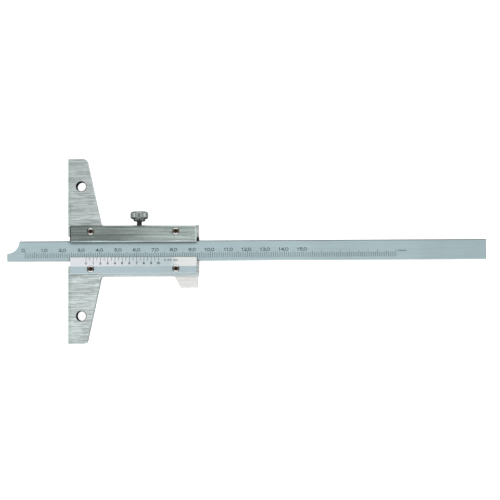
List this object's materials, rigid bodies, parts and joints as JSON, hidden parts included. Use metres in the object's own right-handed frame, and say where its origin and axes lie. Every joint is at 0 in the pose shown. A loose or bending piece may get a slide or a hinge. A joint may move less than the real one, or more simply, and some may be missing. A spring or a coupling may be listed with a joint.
{
  "type": "vernier depth gauge",
  "caption": "Vernier depth gauge: a graduated flat beam slides through a T-shaped base with a vernier plate and a knurled clamp screw.",
  "frame": {"origin": "on the back, in the plane of the measuring face, on the centreline of the beam", "axes": "+X from the measuring face along the beam to its far end, +Y across the beam towards the clamp screw, +Z from the back to the graduated side; it lies on its back on z = 0"},
  "size_m": [0.2586, 0.1, 0.0099],
  "materials": {
    "base_steel": "ground steel, brushed towards the measuring face",
    "cover_steel": "ground steel, brushed along the beam",
    "vernier_steel": "satin chrome on steel",
    "beam_steel": "satin stainless steel with engraved lines",
    "screw_steel": "bright turned steel",
    "gib_bronze": "satin bronze",
    "gib_screw_steel": "dark steel",
    "clamp_steel": "nickel on straight knurled steel",
    "line_fill": "matt black enamel in the lines and figures"
  },
  "bodies": {
    "base": {"base_frame": "base_steel", "cover_plate": "cover_steel", "vernier_plate": "vernier_steel", "cover_screw_left": "screw_steel", "cover_screw_right": "screw_steel", "vernier_screw_left": "screw_steel", "vernier_screw_right": "screw_steel", "gib_screw_left": "gib_screw_steel", "gib_screw_right": "gib_screw_steel"},
    "beam": {"main_beam": "beam_steel"},
    "gib": {"gib_strip": "gib_bronze"},
    "clamp": {"clamp_screw": "clamp_steel"}
  },
  "joints": [
    {"name": "beam_slide", "type": "slide", "parent": "base", "child": "beam", "axis": [-1, 0, 0], "range_m": [-0.0329, 0.1171]},
    {"name": "gib_slide", "type": "slide", "parent": "base", "child": "gib", "axis": [0, 1, 0], "range_m": [0, 0.0005]},
    {"name": "clamp_turn", "type": "hinge", "parent": "gib", "child": "clamp", "pos_m": [0.0384, 0.02, 0.005], "axis": [0, 1, 0], "range_deg": [0, 360]}
  ],
  "couplings": [
    {"joint": "clamp_turn", "follows": "gib_slide", "rad_per_m": 12566}
  ]
}
